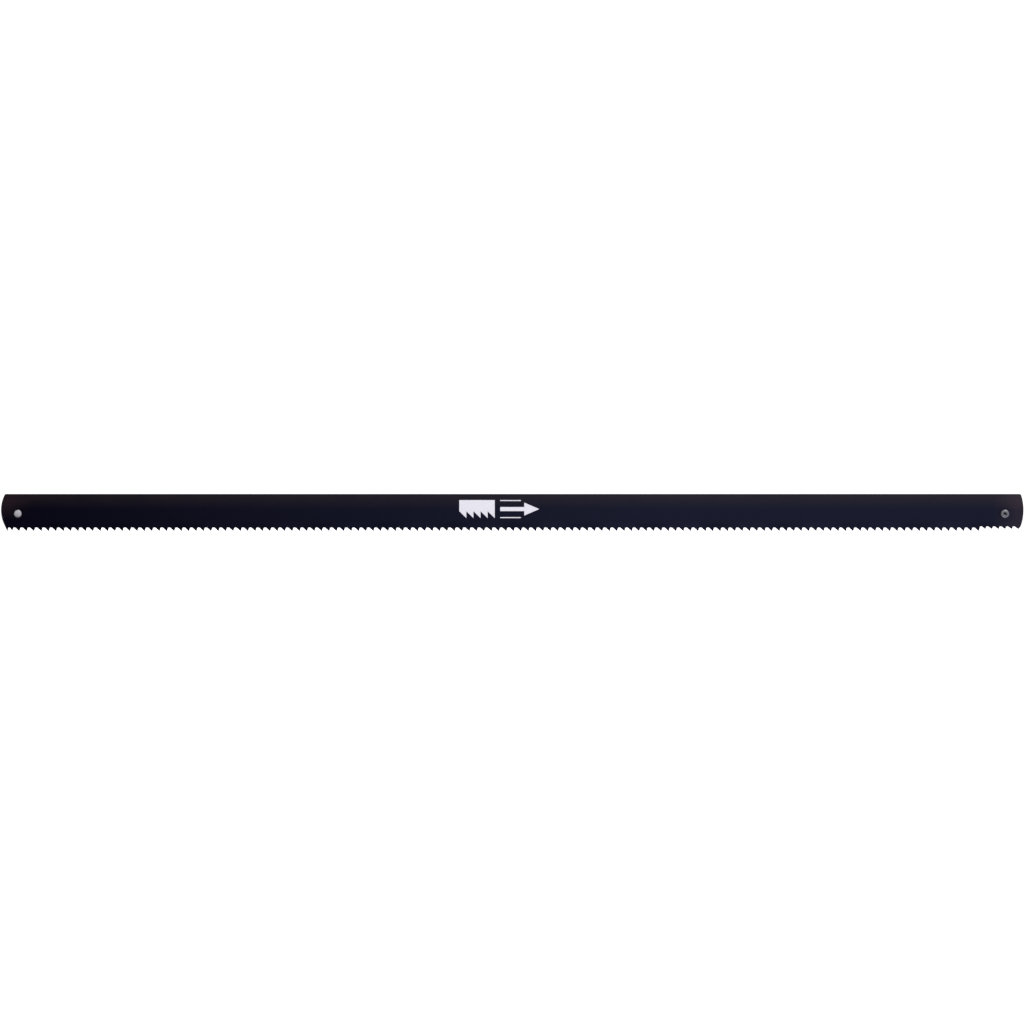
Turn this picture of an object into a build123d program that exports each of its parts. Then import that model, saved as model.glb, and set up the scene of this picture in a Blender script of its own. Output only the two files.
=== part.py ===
from build123d import *
import math
import os

# Pin-ended blade for a small hand saw: a toothed steel strip with a cross pin pressed in at each end.
# Millimetres. +X is the way the teeth point (the cutting stroke), +Z is up, from the teeth to the
# back edge, and Y is across the blade. The origin is the middle of the line through the tooth tips.

# Blade
overall_length = 150.0
overall_width = 5.45            # tooth tips to back edge
thickness = 0.65
front_end_radius = 7.1          # both ends are cropped to a shallow arc, the front one flatter
rear_end_radius = 5.0
end_arc_height = 3.1            # height of the end arcs' furthest point
corner_radius = 0.3             # back corners
front_heel_height = 0.7         # where the front end arc stops above the last tooth
rear_heel_height = 0.85         # where the rear end arc stops above the first tooth

# Teeth
tooth_pitch = 1.0824            # 24 teeth per inch, nominal
main_teeth = 131                # the evenly spaced run
first_main_tip = -72.31
rear_tips = (-74.07, -73.33)    # two start teeth, set closer than the run
rear_tip_heights = (0.0, 0.07)
front_teeth = 6                 # the cutter runs out here, so these are shallow and close
front_pitch = 0.972
front_tip_height = 0.34
tip_flat = 0.05
front_tip_flat = 0.12
rake_angle = 15.0               # the front of each tooth leans back from upright
gullet_height = 0.52            # height of the gaps' roots above the tips
front_gullet_height = 0.69
root_ratio = 0.3                # flat root's length over the gap's own pitch
root_radius_ratio = 0.11        # radius at both ends of the root, likewise

# Wavy set: the teeth lean to one side and then the other, so that the cut is wider than the strip
set_amplitude = 0.15            # sideways, at the tip, which makes the cut 0.95 mm wide
set_teeth_per_wave = 9
set_height = 1.15               # the strip is flat above this
gullet_offset = 0.3             # from a tooth's tip to the middle of the gap in front of it
strip_margin = 0.5              # the strip is made this much too large, then cut to the outline

# Cross pins, pressed into holes that the punch leaves slightly tapered
front_pin_x = 72.24
rear_pin_x = -72.48
pin_height = 2.56
pin_radius = 0.6
pin_length = 4.6
pin_chamfer = 0.1
seat_radius = 0.63              # the hole's wide end, on the side the pin is pushed in from
mark_radius = 0.3               # centre mark that the press leaves on the pushed end
mark_depth = 0.38
front_pushed_side = -1          # -1 is the right side of the blade, +1 the left
rear_pushed_side = 1

half_length = overall_length / 2


def end_arc_x(height, end_radius):
    """Distance from the blade's middle to an end's arc, at a height above the tips."""
    rise = height - end_arc_height
    return half_length - end_radius + math.sqrt(end_radius**2 - rise**2)


def tooth_list():
    """Every tooth from the rear to the front, as (tip x, tip height, tip flat)."""
    teeth = []
    for tip_x, height in zip(rear_tips, rear_tip_heights):
        teeth.append((tip_x, height, tip_flat))
    for index in range(main_teeth):
        teeth.append((first_main_tip + index * tooth_pitch, 0.0, tip_flat))
    last_main_tip = teeth[-1][0]
    for index in range(1, front_teeth + 1):
        teeth.append((last_main_tip + index * front_pitch, front_tip_height, front_tip_flat))
    return teeth


def tooth_edge(teeth):
    """The cutting edge, from the first tooth's tip to the last one's, as joined edges."""
    edges = []
    for index, (tip_x, height, flat) in enumerate(teeth):
        tip_end = (tip_x + flat / 2, height)
        edges.append(Line((tip_x - flat / 2, height), tip_end))
        if index == len(teeth) - 1:
            break
        next_x, next_height, next_flat = teeth[index + 1]
        pitch = next_x - tip_x
        root_height = gullet_height if index < len(teeth) - 1 - front_teeth else front_gullet_height
        root_x = tip_end[0] + (root_height - height) * math.tan(math.radians(rake_angle))
        gap = [
            tip_end,
            (root_x, root_height),
            (root_x + root_ratio * pitch, root_height),
            (next_x - next_flat / 2, next_height),
        ]
        edges.extend(FilletPolyline(*gap, radius=root_radius_ratio * pitch).edges())
    return edges


def blade_outline(teeth):
    """Side view of the blade: cutting edge, end arcs and back edge, as a face in X and Z."""
    first_x, first_height, first_flat = teeth[0]
    last_x, last_height, last_flat = teeth[-1]
    rear_start = (first_x - first_flat / 2, first_height)
    front_start = (last_x + last_flat / 2, last_height)
    rear_heel = (-end_arc_x(rear_heel_height, rear_end_radius), rear_heel_height)
    front_heel = (end_arc_x(front_heel_height, front_end_radius), front_heel_height)
    rear_corner = (-end_arc_x(overall_width, rear_end_radius), overall_width)
    front_corner = (end_arc_x(overall_width, front_end_radius), overall_width)
    rear_end = ThreePointArc(rear_heel, (-half_length, end_arc_height), rear_corner)
    front_end = ThreePointArc(front_corner, (half_length, end_arc_height), front_heel)
    edges = tooth_edge(teeth)
    edges.append(Line(front_start, front_heel))
    edges.append(front_end)
    edges.append(Line(rear_corner, front_corner))
    edges.append(rear_end)
    edges.append(Line(rear_heel, rear_start))
    outline = Face(Wire(edges))
    back_corners = outline.vertices().group_by(Axis.Y)[-1]
    return Plane.XZ * outline.fillet_2d(corner_radius, back_corners)


def leaning_strip(rear_x, front_x, lean):
    """Stretch of strip below the set's top, whose lower edge leans to one side by a distance."""
    foot = lean * (1 + strip_margin / set_height)
    section = Polyline(
        (thickness / 2, set_height),
        (foot + thickness / 2, -strip_margin),
        (foot - thickness / 2, -strip_margin),
        (-thickness / 2, set_height),
        close=True,
    )
    return extrude(Plane.YZ.offset(rear_x) * make_face(section), amount=front_x - rear_x)


def set_strip(teeth):
    """Plain strip, larger than the blade all round, flat above the set and a wave of leans below it."""
    flat_part = Box(
        overall_length + 2 * strip_margin,
        thickness,
        overall_width + strip_margin - set_height,
        align=(Align.CENTER, Align.CENTER, Align.MIN),
    )
    gaps = [tip_x + flat / 2 + gullet_offset for tip_x, height, flat in teeth[:-1]]
    cuts = [-half_length - strip_margin] + gaps + [half_length + strip_margin]
    stretches = []
    for index, (rear_x, front_x) in enumerate(zip(cuts, cuts[1:])):
        lean = set_amplitude * math.sin(2 * math.pi * index / set_teeth_per_wave)
        stretches.append(leaning_strip(rear_x, front_x, lean))
    return Pos(0, 0, set_height) * flat_part + stretches


def turned(at_x, pushed_side, profile):
    """Solid of revolution on a pin's axis. The profile is (along the pin, radius) from the far end."""
    points = [(radius, along) for along, radius in profile]
    blank = revolve(Plane.XZ * make_face(Polyline(*points, close=True)), Axis.Z)
    return Pos(at_x, 0, pin_height) * Rot(-90 * pushed_side, 0, 0) * blank


def make_pin(at_x, pushed_side):
    """One pin. The press pushed it in from the side given as -1 or +1 along Y, and marked that end."""
    end = pin_length / 2
    seat = thickness / 2
    profile = (
        (-end, 0),
        (-end, pin_radius - pin_chamfer),
        (-end + pin_chamfer, pin_radius),
        (-seat, pin_radius),
        (seat, seat_radius),
        (seat, pin_radius),
        (end - pin_chamfer, pin_radius),
        (end, pin_radius - pin_chamfer),
        (end, mark_radius),
        (end - mark_depth, 0),
    )
    return turned(at_x, pushed_side, profile)


def make_hole(at_x, pushed_side):
    """The space that a pin's seat takes in the blade, run on past both faces."""
    seat = thickness / 2
    profile = (
        (-thickness, 0),
        (-thickness, pin_radius),
        (-seat, pin_radius),
        (seat, seat_radius),
        (thickness, seat_radius),
        (thickness, 0),
    )
    return turned(at_x, pushed_side, profile)


def make_blade():
    teeth = tooth_list()
    prism = extrude(blade_outline(teeth), amount=2 * thickness, both=True)
    blade = set_strip(teeth) & prism
    return blade - make_hole(front_pin_x, front_pushed_side) - make_hole(rear_pin_x, rear_pushed_side)


os.makedirs("parts", exist_ok=True)
export_step(make_blade(), "parts/blade.step")
export_step(make_pin(front_pin_x, front_pushed_side), "parts/front_pin.step")
export_step(make_pin(rear_pin_x, rear_pushed_side), "parts/rear_pin.step")
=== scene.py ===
import math

import bmesh
import bpy
import numpy as np
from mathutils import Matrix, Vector


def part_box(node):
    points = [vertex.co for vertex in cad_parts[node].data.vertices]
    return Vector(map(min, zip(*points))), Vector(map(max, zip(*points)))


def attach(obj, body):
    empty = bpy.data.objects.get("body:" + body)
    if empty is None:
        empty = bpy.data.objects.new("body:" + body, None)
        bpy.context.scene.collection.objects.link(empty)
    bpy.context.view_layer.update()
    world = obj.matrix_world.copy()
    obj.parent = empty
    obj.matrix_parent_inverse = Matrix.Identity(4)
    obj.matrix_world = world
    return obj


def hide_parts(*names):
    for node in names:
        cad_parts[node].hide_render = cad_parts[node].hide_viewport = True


# A pin-ended saw blade, upright with its teeth down: blued steel strip, two pressed-in pins and a
# printed cutting-direction mark. Metres, in the CAD model's frame: +X is the way the teeth point.
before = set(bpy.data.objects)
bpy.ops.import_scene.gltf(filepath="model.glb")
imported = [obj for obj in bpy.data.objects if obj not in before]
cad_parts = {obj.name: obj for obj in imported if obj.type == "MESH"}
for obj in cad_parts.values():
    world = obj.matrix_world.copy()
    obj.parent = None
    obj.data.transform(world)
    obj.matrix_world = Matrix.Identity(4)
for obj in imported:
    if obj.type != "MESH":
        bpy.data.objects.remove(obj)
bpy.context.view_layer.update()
blade_low, blade_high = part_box("blade")
pins = {name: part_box(name) for name in ("front_pin", "rear_pin")}

mm = 0.001

# Blade outline
half_length = (blade_high.x - blade_low.x) / 2
back_height = blade_high.z
half_thickness = 0.325 * mm
front_end_radius = 7.1 * mm
rear_end_radius = 5.0 * mm
end_arc_height = 3.1 * mm
corner_radius = 0.3 * mm
front_heel_height = 0.7 * mm
rear_heel_height = 0.85 * mm

# Teeth, as the CAD model lays them out
tooth_pitch = 1.0824 * mm
main_teeth = 131
first_main_tip = -72.31 * mm
rear_tips = ((-74.07 * mm, 0.0), (-73.33 * mm, 0.07 * mm))
front_teeth = 6
front_pitch = 0.972 * mm
front_tip_height = 0.34 * mm
tip_flat = 0.05 * mm
front_tip_flat = 0.12 * mm
rake_angle = math.radians(15)
gullet_height = 0.52 * mm
front_gullet_height = 0.69 * mm
root_ratio = 0.3
root_radius_ratio = 0.11

# Wavy set
set_amplitude = 0.15 * mm
set_teeth_per_wave = 9
set_height = 1.15 * mm

# Edges: the milled teeth stay sharp, the rolled back and cropped ends are softer
tooth_edge_radius = 0.015 * mm
back_edge_radius = 0.03 * mm
end_edge_radius = 0.15 * mm

# Pins
pin_half = pins["front_pin"][1].y
pin_radius = 0.6 * mm
pin_chamfer = 0.1 * mm
pin_edge_radius = 0.05 * mm
crop_dome = 0.06 * mm
seat_radius = 0.63 * mm
mark_radius = 0.3 * mm
mark_depth = 0.38 * mm
pushed_sides = {"front_pin": -1, "rear_pin": 1}  # side of the blade that the press stood on, along Y

# Printed mark, on the right face
mark_left = -7.77 * mm
mark_base = 1.92 * mm
mark_length = 11.73 * mm
mark_height = 2.64 * mm
mark_teeth = 5
mark_pitch = 1.04 * mm
mark_root = 1.0 * mm
mark_arrow_start = 6.0 * mm
mark_shaft = 0.6 * mm
mark_head = 1.9 * mm
mark_head_length = 2.2 * mm
mark_rule = 0.14 * mm
mark_gap = 0.5 * mm
ink_lift = 0.015 * mm
ink_sink = 0.005 * mm

# Mesh: steps along each rounded stretch, and the heights between which the faces' rows are spread
gullet_steps = 3
end_arc_steps = 9
corner_steps = 4
edge_steps = 3
lowest_row = 0.85 * mm
highest_row = 5.2 * mm
pin_segments = 64
smooth_angle = math.radians(36)

# Studio
floor_half_size = 6.0
floor_drop = 0.005 * mm
floor_glow = 0.27
camera_distance = 3.0
camera_x = -0.037 * mm
camera_height = 2.81 * mm
picture_width = 150.19 * mm


# ---------------------------------------------------------------- small helpers


def add_object(name, data):
    """Object in the scene from a mesh, a light or a camera."""
    obj = bpy.data.objects.new(name, data)
    bpy.context.scene.collection.objects.link(obj)
    return obj


def new_object(name, verts, faces):
    """Mesh object from points and faces, with its normals made to point outwards."""
    mesh = bpy.data.meshes.new(name)
    mesh.from_pydata(verts, [], faces)
    mesh.update()
    obj = add_object(name, mesh)
    bm = bmesh.new()
    bm.from_mesh(mesh)
    bmesh.ops.recalc_face_normals(bm, faces=bm.faces)
    bm.to_mesh(mesh)
    bm.free()
    return obj


def shade(obj):
    """Smooth shading, broken at edges sharper than the smooth angle, with the large faces kept flat."""
    obj.data.shade_smooth()
    obj.data.set_sharp_from_angle(angle=smooth_angle)
    weighted = obj.modifiers.new("weighted_normals", "WEIGHTED_NORMAL")
    weighted.keep_sharp = True
    weighted.weight = 100


def arc_points(centre, radius, start, end, steps):
    """Points on an arc in X and Z, both ends included. Angles are from +X towards +Z."""
    angles = [start + (end - start) * step / steps for step in range(steps + 1)]
    return [(centre[0] + radius * math.cos(a), centre[1] + radius * math.sin(a)) for a in angles]


def fillet_points(before, corner, after, radius, steps):
    """The rounded corner between two straight runs, as points from one tangent place to the other."""
    p, q, r = (np.array(point) for point in (before, corner, after))
    to_p, to_r = (p - q) / np.linalg.norm(p - q), (r - q) / np.linalg.norm(r - q)
    half_angle = math.acos(np.clip(to_p @ to_r, -1, 1)) / 2
    middle = (to_p + to_r) / np.linalg.norm(to_p + to_r)
    centre = q + middle * radius / math.sin(half_angle)
    reach = radius / math.tan(half_angle)
    first, last = q + to_p * reach - centre, q + to_r * reach - centre
    start, end = math.atan2(first[1], first[0]), math.atan2(last[1], last[0])
    turn = (end - start + math.pi) % (2 * math.pi) - math.pi
    return arc_points(centre, radius, start, start + turn, steps)


def rounded_path(corners, radius, steps):
    """A path through corners, its inner ones rounded."""
    points = [corners[0]]
    for before, corner, after in zip(corners, corners[1:], corners[2:]):
        points += fillet_points(before, corner, after, radius, steps)
    return points + [corners[-1]]


# ---------------------------------------------------------------- blade outline


def tooth_list():
    """Every tooth from the rear to the front, as (tip x, tip height, tip flat)."""
    teeth = [(x, height, tip_flat) for x, height in rear_tips]
    teeth += [(first_main_tip + i * tooth_pitch, 0.0, tip_flat) for i in range(main_teeth)]
    last_main_tip = teeth[-1][0]
    for i in range(1, front_teeth + 1):
        teeth.append((last_main_tip + i * front_pitch, front_tip_height, front_tip_flat))
    return teeth


def cutting_edge(teeth):
    """The toothed edge from the rear to the front, as points in X and Z."""
    points = []
    for index, (x, height, flat) in enumerate(teeth):
        tip_end = (x + flat / 2, height)
        points += [(x - flat / 2, height), tip_end]
        if index < len(teeth) - 1:
            next_x, next_height, next_flat = teeth[index + 1]
            pitch = next_x - x
            root_height = gullet_height if index < len(teeth) - 1 - front_teeth else front_gullet_height
            root_x = tip_end[0] + (root_height - height) * math.tan(rake_angle)
            gap = [
                tip_end,
                (root_x, root_height),
                (root_x + root_ratio * pitch, root_height),
                (next_x - next_flat / 2, next_height),
            ]
            points += rounded_path(gap, root_radius_ratio * pitch, gullet_steps)[1:-1]
    return points


def end_points(heel_height, end_radius):
    """One end from its heel up to the back edge, for the +X end. The last point is on the back edge."""
    centre = (half_length - end_radius, end_arc_height)
    corner_z = back_height - corner_radius
    reach = end_radius - corner_radius
    corner_x = centre[0] + math.sqrt(reach**2 - (corner_z - centre[1]) ** 2)
    heel_angle = math.asin((heel_height - centre[1]) / end_radius)
    corner_angle = math.atan2(corner_z - centre[1], corner_x - centre[0])
    points = arc_points(centre, end_radius, heel_angle, corner_angle, end_arc_steps)
    corner = (corner_x, corner_z)
    return points + arc_points(corner, corner_radius, corner_angle, math.pi / 2, corner_steps)[1:]


def offset_inward(loop, radii):
    """A closed loop as an array, and each point's way inward by its own radius, square to its edges."""
    loop = np.array(loop)
    ahead = np.roll(loop, -1, axis=0) - loop
    ahead /= np.linalg.norm(ahead, axis=1, keepdims=True)
    after = np.stack([-ahead[:, 1], ahead[:, 0]], axis=1)
    before = np.roll(after, 1, axis=0)
    mitre = (after + before) / (1 + (after * before).sum(axis=1, keepdims=True))
    return loop, mitre * np.array(radii)[:, None]


def set_offset(teeth, x, z):
    """Sideways offset of the wavy set at places along and up the blade."""
    tips = [tooth[0] for tooth in teeth]
    tooth_number = np.interp(x, tips, np.arange(len(tips)))
    sway = np.sin(2 * math.pi * tooth_number / set_teeth_per_wave)
    return set_amplitude * sway * np.clip(1 - z / set_height, 0, 1)


def rounded_rim(loop, radii):
    """Rings of points round the blade's rim, from one face over the edge to the other, as one array."""
    loop, inward = offset_inward(loop, radii)
    radii = np.array(radii)
    quarter = [math.pi / 2 * step / edge_steps for step in range(edge_steps + 1)]
    rings = []
    for side, angle in [(-1, a) for a in quarter] + [(1, a) for a in quarter[::-1]]:
        outline = loop + inward * (1 - math.sin(angle))
        y = side * (half_thickness - radii * (1 - math.cos(angle)))
        rings.append(np.stack([outline[:, 0], y, outline[:, 1]], axis=1))
    return np.stack(rings)


def build_blade():
    """The strip as one closed mesh: a grid of points on each face, joined by the rounded rim."""
    teeth = tooth_list()
    bottom = cutting_edge(teeth)
    front = end_points(front_heel_height, front_end_radius)
    rear = [(-x, z) for x, z in end_points(rear_heel_height, rear_end_radius)]
    rows, columns = len(front) - 1, len(bottom)
    bottom_ends, top_ends = (bottom[0][0], bottom[-1][0]), (rear[-1][0], front[-1][0])
    top = [(x, back_height) for x in np.interp([x for x, z in bottom], bottom_ends, top_ends)]
    loop = bottom + front[:-1] + top[::-1] + rear[-2::-1]
    radii = [tooth_edge_radius] * columns + [end_edge_radius] * rows
    radii += [back_edge_radius] * columns + [end_edge_radius] * rows
    rings = rounded_rim(loop, radii)
    ring_count, count = rings.shape[:2]
    verts = rings.reshape(-1, 3)
    faces = []
    for ring in range(ring_count - 1):
        for k in range(count):
            here, after = ring * count + k, ring * count + (k + 1) % count
            faces.append((here, after, after + count, here + count))

    heights = np.linspace(lowest_row, highest_row, rows)
    for ring, side in ((0, -1), (ring_count - 1, 1)):
        edge = ring * count + np.arange(count)
        low, front_edge, high, rear_edge = np.split(edge, np.cumsum([columns, rows, columns]))
        high, rear_edge = high[::-1], rear_edge[::-1]
        low_x, high_x = verts[low, 0], verts[high, 0]
        grid_x = low_x + (high_x - low_x) * (heights / back_height)[:, None]
        grid_z = np.broadcast_to(heights[:, None], grid_x.shape)
        grid_y = np.full(grid_x.size, side * half_thickness)
        index = np.empty((rows + 2, columns + 2), int)
        index[1:-1, 1:-1] = len(verts) + np.arange(rows * columns).reshape(rows, columns)
        index[0, 1:-1], index[-1, 1:-1] = low, high
        index[1:-1, 0], index[1:-1, -1] = rear_edge, front_edge
        index[[0, -1], 0], index[[0, -1], -1] = index[[0, -1], 1], index[[0, -1], -2]
        for row in range(rows + 1):
            for column in range(columns + 1):
                cell = index[row : row + 2, column : column + 2].ravel()[[0, 1, 3, 2]]
                faces.append(tuple(dict.fromkeys(cell.tolist())))
        verts = np.concatenate([verts, np.stack([grid_x.ravel(), grid_y, grid_z.ravel()], axis=1)])
    verts[:, 1] += set_offset(teeth, verts[:, 0], verts[:, 2])
    return new_object("saw_blade", verts.tolist(), faces)


# ---------------------------------------------------------------- pins


def lathe(name, profile):
    """Solid turned about +Z from a profile of (height, radius) points that begins and ends on the axis."""
    verts = [(0, 0, profile[0][0])]
    for height, radius in profile[1:-1]:
        for step in range(pin_segments):
            turn = 2 * math.pi * step / pin_segments
            verts.append((radius * math.cos(turn), radius * math.sin(turn), height))
    verts.append((0, 0, profile[-1][0]))
    rings = len(profile) - 2
    faces = []
    for step in range(pin_segments):
        after = (step + 1) % pin_segments
        faces.append((0, 1 + after, 1 + step))
        for ring in range(rings - 1):
            low, high = 1 + ring * pin_segments, 1 + (ring + 1) * pin_segments
            faces.append((low + step, low + after, high + after, high + step))
        last = 1 + (rings - 1) * pin_segments
        faces.append((last + step, last + after, len(verts) - 1))
    return new_object(name, verts, faces)


def pin_profile():
    """Half section of a pin as (along the pin, radius), from its cropped end to its marked end."""
    cropped = [
        (-pin_half, 0),
        (-pin_half + crop_dome, pin_radius - pin_chamfer),
        (-pin_half + pin_chamfer, pin_radius),
    ]
    marked = [
        (pin_half - pin_chamfer, pin_radius),
        (pin_half, pin_radius - pin_chamfer),
        (pin_half, mark_radius),
        (pin_half - mark_depth, 0),
    ]
    seat = [
        (-half_thickness, pin_radius),
        (half_thickness, seat_radius),
        (half_thickness, pin_radius),
    ]
    first = rounded_path(cropped + seat[:1], pin_edge_radius, corner_steps)
    last = rounded_path(seat[-1:] + marked, pin_edge_radius, corner_steps)
    return first + seat[1:2] + last


def lay_across(obj, node, pushed_side):
    """Lay a lathed piece across the blade at a pin's place, its own +Z towards the pushed side."""
    low, high = pins[node]
    obj.location = (low + high) / 2
    obj.rotation_euler = (-pushed_side * math.pi / 2, 0, 0)
    return obj


def build_pin(node, pushed_side):
    """One pin across the blade, with its marked end on the pushed side."""
    return lay_across(lathe(node + "_steel", pin_profile()), node, pushed_side)


def cut_hole(blade, node, pushed_side):
    """Punch the tapered hole that a pin's seat fills, through the blade."""
    reach = 3 * half_thickness
    profile = [
        (-reach, 0),
        (-reach, pin_radius),
        (-half_thickness, pin_radius),
        (half_thickness, seat_radius),
        (reach, seat_radius),
        (reach, 0),
    ]
    punch = lay_across(lathe("punch", profile), node, pushed_side)
    cut = blade.modifiers.new("hole", "BOOLEAN")
    cut.operation = "DIFFERENCE"
    cut.solver = "EXACT"
    cut.object = punch
    bpy.context.view_layer.update()
    bpy.context.view_layer.objects.active = blade
    bpy.ops.object.modifier_apply(modifier=cut.name)
    bpy.data.objects.remove(punch)


# ---------------------------------------------------------------- printed mark


def print_shape(bm, outline):
    """Add one flat patch of ink to the right face, from its outline in X and Z."""
    face = bm.faces.new([bm.verts.new((x, ink_sink - half_thickness, z)) for x, z in outline])
    raised = bmesh.ops.extrude_face_region(bm, geom=[face])["geom"]
    for vert in (v for v in raised if isinstance(v, bmesh.types.BMVert)):
        vert.co.y = -half_thickness - ink_lift


def build_mark():
    """Generic cutting-direction mark: a row of teeth, then an arrow between two rules."""
    mark_top = mark_base + mark_height
    teeth_outline = [(mark_left + mark_teeth * mark_pitch, mark_top), (mark_left, mark_top)]
    for index in range(mark_teeth):
        tooth_x = mark_left + index * mark_pitch
        teeth_outline += [(tooth_x, mark_base + mark_root), (tooth_x + mark_pitch, mark_base)]
    middle = mark_base + mark_height / 2
    arrow_left, arrow_right = mark_left + mark_arrow_start, mark_left + mark_length
    head_left = arrow_right - mark_head_length
    rule_right = head_left - mark_gap
    shaft, head = mark_shaft / 2, mark_head / 2
    arrow_outline = [
        (arrow_left, middle - shaft),
        (head_left, middle - shaft),
        (head_left, middle - head),
        (arrow_right, middle),
        (head_left, middle + head),
        (head_left, middle + shaft),
        (arrow_left, middle + shaft),
    ]
    outlines = [teeth_outline, arrow_outline]
    for low in (mark_base, mark_top - mark_rule):
        high = low + mark_rule
        outlines.append([(arrow_left, low), (rule_right, low), (rule_right, high), (arrow_left, high)])
    bm = bmesh.new()
    for outline in outlines:
        print_shape(bm, outline)
    bmesh.ops.recalc_face_normals(bm, faces=bm.faces)
    mesh = bpy.data.meshes.new("direction_mark")
    bm.to_mesh(mesh)
    bm.free()
    return add_object("direction_mark", mesh)


# ---------------------------------------------------------------- materials


class Nodes:
    """A new node material and short ways to add to it."""

    def __init__(self, name):
        self.material = bpy.data.materials.new(name)
        self.material.use_nodes = True
        self.tree = self.material.node_tree
        self.shader = self.tree.nodes["Principled BSDF"]
        self.place = self.add("ShaderNodeTexCoord").outputs["Object"]

    def add(self, kind, **settings):
        node = self.tree.nodes.new(kind)
        for key, value in settings.items():
            setattr(node, key, value)
        return node

    def link(self, source, target):
        self.tree.links.new(source, target)

    def noise(self, scale, detail=4.0, roughness=0.55, stretch=(1, 1, 1), seed=0.0):
        """Noise over the object, with scale in cells per metre."""
        mapping = self.add("ShaderNodeMapping")
        mapping.inputs["Scale"].default_value = stretch
        mapping.inputs["Location"].default_value = (seed, seed, seed)
        texture = self.add("ShaderNodeTexNoise")
        texture.inputs["Scale"].default_value = scale
        texture.inputs["Detail"].default_value = detail
        texture.inputs["Roughness"].default_value = roughness
        self.link(self.place, mapping.inputs["Vector"])
        self.link(mapping.outputs["Vector"], texture.inputs["Vector"])
        return texture.outputs["Fac"]

    def axis(self, name):
        """One coordinate of the place on the object, in metres."""
        split = self.add("ShaderNodeSeparateXYZ")
        self.link(self.place, split.inputs["Vector"])
        return split.outputs[name]

    def math(self, operation, first, second=None):
        """Result of one arithmetic step on one or two values, each a number or a socket."""
        node = self.add("ShaderNodeMath", operation=operation)
        for socket, value in zip(node.inputs, (first, second)):
            if value is None:
                continue
            if isinstance(value, (int, float)):
                socket.default_value = value
            else:
                self.link(value, socket)
        return node.outputs[0]

    def remap(self, value, low, high, to_low=0.0, to_high=1.0):
        """Value from one range to another, held at the ends."""
        node = self.add("ShaderNodeMapRange")
        self.link(value, node.inputs["Value"])
        for key, number in (("From Min", low), ("From Max", high), ("To Min", to_low), ("To Max", to_high)):
            node.inputs[key].default_value = number
        return node.outputs["Result"]

    def mix(self, factor, first, second):
        """Blend of two colours, each a colour or a socket."""
        node = self.add("ShaderNodeMix", data_type="RGBA")
        self.link(factor, node.inputs["Factor"])
        first_colour, second_colour, blend = node.inputs[6], node.inputs[7], node.outputs[2]
        for socket, value in ((first_colour, first), (second_colour, second)):
            if isinstance(value, tuple):
                socket.default_value = (*value, 1)
            else:
                self.link(value, socket)
        return blend

    def bump(self, height, strength, distance, under=None):
        """Bumps from a height, on top of other bumps where they are given."""
        node = self.add("ShaderNodeBump")
        node.inputs["Strength"].default_value = strength
        node.inputs["Distance"].default_value = distance
        self.link(height, node.inputs["Height"])
        if under is not None:
            self.link(under, node.inputs["Normal"])
        return node.outputs["Normal"]


def blade_material():
    """Blued steel, blue-black towards the teeth and warmer along the back and at the cropped ends; painted
    light lifts it towards the front.
    """
    back_band = (3.3 * mm, 4.9 * mm)  # heights over which the blue turns to brown
    end_band = (70.5 * mm, 74.0 * mm)  # distances from the middle over which the ends turn scorched
    end_rise = (1.6 * mm, 4.4 * mm)  # heights over which the scorching grows to full strength
    m = Nodes("blued_steel")
    m.shader.inputs["Metallic"].default_value = 1.0
    grain = m.noise(9000, 5, 0.6, (0.05, 1, 1))
    mottle = m.noise(700, 4, 0.6, (0.35, 1, 1))
    up = m.axis("Z")
    along = m.axis("X")
    # Painted light: a ramp from the rear end to a little past the middle that makes the tones lighter
    # towards the front.
    frontward_painted_light = m.remap(along, -half_length, 0.3 * half_length)
    patchy = m.remap(mottle, 0.3, 0.7, 0.7, 1.0)
    back = m.math("MULTIPLY", m.remap(up, *back_band), patchy)
    near_end = m.remap(m.math("ABSOLUTE", along), *end_band)
    # Towards the front the painted light ramp also lets half-strength scorching reach the lowest part of
    # the ends.
    raised = m.math("MAXIMUM", m.remap(up, *end_rise), m.math("MULTIPLY", frontward_painted_light, 0.5))
    end = m.math("MULTIPLY", near_end, raised)
    # Each tone runs along that painted light ramp, from a darker rear colour to a lighter front colour.
    blue = m.mix(frontward_painted_light, (0.0017, 0.0014, 0.0044), (0.0073, 0.0081, 0.0180))
    brown = m.mix(frontward_painted_light, (0.0080, 0.0056, 0.0078), (0.0145, 0.0129, 0.0180))
    scorched = m.mix(frontward_painted_light, (0.0110, 0.0064, 0.0092), (0.0240, 0.0185, 0.0262))
    m.link(m.mix(end, m.mix(back, blue, brown), scorched), m.shader.inputs["Base Color"])
    m.link(m.remap(mottle, 0.25, 0.75, 0.32, 0.48), m.shader.inputs["Roughness"])
    fine = m.bump(grain, 0.25, 0.004 * mm)
    m.link(m.bump(mottle, 0.2, 0.01 * mm, fine), m.shader.inputs["Normal"])
    return m.material


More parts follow.
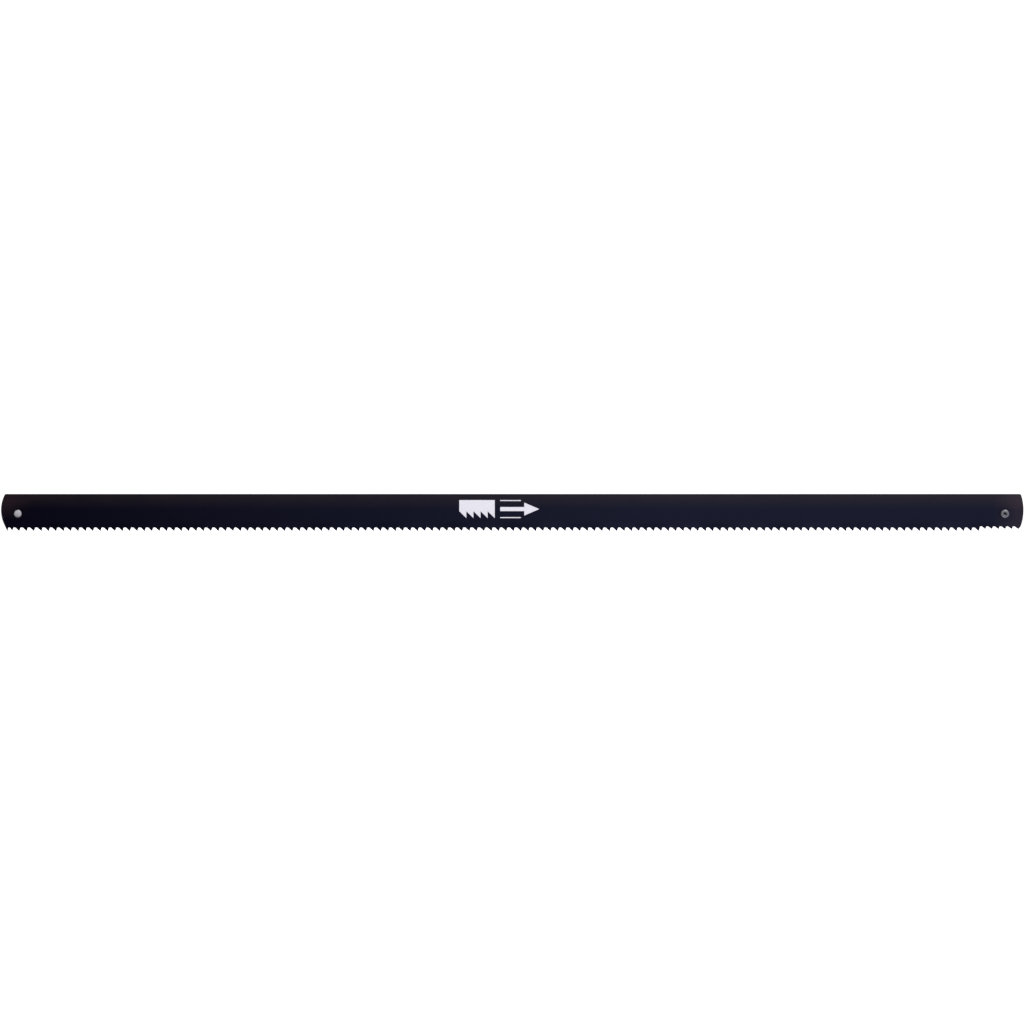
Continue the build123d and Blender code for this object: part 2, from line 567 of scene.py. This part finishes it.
def pin_material():
    """Steel wire, black round its side, matt where pressed and uncoated where cropped; each end has a
    painted highlight.
    """
    ragged_edge = 0.01 * mm
    m = Nodes("cropped_steel")
    m.shader.inputs["Metallic"].default_value = 1.0
    grain = m.noise(14000, 4, 0.6)
    bloom = m.noise(2600, 3, 0.55, seed=0.3)
    across, upward = m.axis("X"), m.axis("Y")
    ragged = m.math("ADD", m.axis("Z"), m.remap(bloom, 0.3, 0.7, -ragged_edge, ragged_edge))
    cropped = m.remap(ragged, 0.5 * pin_chamfer - pin_half, 0.85 * pin_chamfer - pin_half, 1.0, 0.0)
    # The struck pit's deeper part lies below this band and keeps the dark colour of the side.
    pressed = m.remap(ragged, pin_half - 1.2 * pin_chamfer, pin_half - 1.1 * pin_chamfer)
    # Painted highlight: the cropped face is painted lighter towards one edge, the upper right on the rear
    # pin, as if lit from there.
    slanted = m.math("SUBTRACT", m.math("MULTIPLY", across, 0.25), upward)
    cropped_face_painted_highlight = m.remap(slanted, -pin_radius, pin_radius)
    cropped_highlight_and_bloom = m.math("ADD", cropped_face_painted_highlight, m.remap(bloom, 0.3, 0.7, -0.15, 0.15))
    bare_and_painted_highlight = m.mix(cropped_highlight_and_bloom, (0.085, 0.08, 0.09), (0.42, 0.41, 0.44))
    # Painted highlight: the struck end is painted lighter towards the pin's local +Y side, the top on the
    # front pin, as if lit from above.
    marked_end_painted_highlight = m.remap(upward, 0.0, pin_radius, 0.0, 0.8)
    marked_highlight_and_bloom = m.math("ADD", marked_end_painted_highlight, m.remap(bloom, 0.35, 0.65, 0.0, 0.6))
    dull_and_painted_highlight = m.mix(marked_highlight_and_bloom, (0.075, 0.075, 0.09), (0.145, 0.145, 0.165))
    side = m.mix(pressed, (0.012, 0.012, 0.018), dull_and_painted_highlight)
    m.link(m.mix(cropped, side, bare_and_painted_highlight), m.shader.inputs["Base Color"])
    m.link(m.remap(bloom, 0.3, 0.7, 0.50, 0.34), m.shader.inputs["Roughness"])
    m.link(m.bump(grain, 0.35, 0.01 * mm), m.shader.inputs["Normal"])
    return m.material


def ink_material():
    """Thin screen-printed ink, pale, with the steel showing through in specks."""
    m = Nodes("pale_ink")
    specks = m.noise(9000, 4, 0.6)
    worn = m.remap(specks, 0.60, 0.72)
    m.link(m.mix(worn, (0.42, 0.41, 0.46), (0.20, 0.20, 0.24)), m.shader.inputs["Base Color"])
    m.link(m.remap(specks, 0.3, 0.7, 0.5, 0.65), m.shader.inputs["Roughness"])
    m.link(m.bump(specks, 0.3, 0.006 * mm), m.shader.inputs["Normal"])
    return m.material


def floor_material():
    """Plain pale studio floor. Its own faint light makes it as white as the surroundings."""
    m = Nodes("pale_floor")
    cloud = m.noise(6, 2, 0.5)
    m.link(m.mix(cloud, (0.88, 0.88, 0.88), (0.90, 0.90, 0.90)), m.shader.inputs["Base Color"])
    m.shader.inputs["Roughness"].default_value = 0.8
    m.shader.inputs["Specular IOR Level"].default_value = 0.1
    m.shader.inputs["Emission Color"].default_value = (1, 1, 1, 1)
    m.shader.inputs["Emission Strength"].default_value = floor_glow
    return m.material


# ---------------------------------------------------------------- studio


def add_floor():
    """Square floor, just clear of the tooth tips."""
    size = floor_half_size
    corners = [(-size, -size), (size, -size), (size, size), (-size, size)]
    floor = new_object("floor", [(x, y, -floor_drop) for x, y in corners], [(0, 1, 2, 3)])
    floor.data.materials.append(floor_material())


def add_softbox(name, place, side, power):
    """Soft square light, turned to face the origin."""
    light = bpy.data.lights.new(name, "AREA")
    light.size = side
    light.energy = power
    lamp = add_object(name, light)
    lamp.location = place
    lamp.rotation_euler = (-Vector(place)).to_track_quat("-Z", "Y").to_euler()


def add_world(seen, given):
    """White surroundings: one brightness where the camera looks past the floor, another as light."""
    world = bpy.data.worlds.new("studio")
    bpy.context.scene.world = world
    world.use_nodes = True
    tree = world.node_tree
    background = tree.nodes["Background"]
    background.inputs["Color"].default_value = (1, 1, 1, 1)
    path = tree.nodes.new("ShaderNodeLightPath")
    strength = tree.nodes.new("ShaderNodeMapRange")
    strength.inputs["To Min"].default_value = given
    strength.inputs["To Max"].default_value = seen
    tree.links.new(path.outputs["Is Camera Ray"], strength.inputs["Value"])
    tree.links.new(strength.outputs["Result"], background.inputs["Strength"])


def add_camera():
    """Long lens, level and square to the blade's right face, which fills the picture's width."""
    camera = bpy.data.cameras.new("camera")
    camera.sensor_width = 36
    camera.lens = camera.sensor_width * camera_distance / picture_width
    camera.clip_start, camera.clip_end = 0.01, 50
    obj = add_object("camera", camera)
    obj.location = (camera_x, -half_thickness - camera_distance, camera_height)
    obj.rotation_euler = (math.pi / 2, 0, 0)
    bpy.context.scene.camera = obj


# ---------------------------------------------------------------- scene

add_camera()
add_floor()
add_world(seen=1.1, given=0.85)
add_softbox("key", place=(0.25, -0.35, 0.75), side=0.5, power=9)
add_softbox("fill", place=(-0.5, 0.4, 0.5), side=0.4, power=3)
bpy.context.scene.view_settings.view_transform = "Standard"

blade = build_blade()
for node, side in pushed_sides.items():
    cut_hole(blade, node, side)
shade(blade)
blade.data.materials.append(blade_material())
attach(blade, "root")
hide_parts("blade")

steel = pin_material()
for node, side in pushed_sides.items():
    pin = build_pin(node, side)
    shade(pin)
    pin.data.materials.append(steel)
    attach(pin, "root")
    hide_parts(node)

mark = build_mark()
mark.data.materials.append(ink_material())
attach(mark, "root")
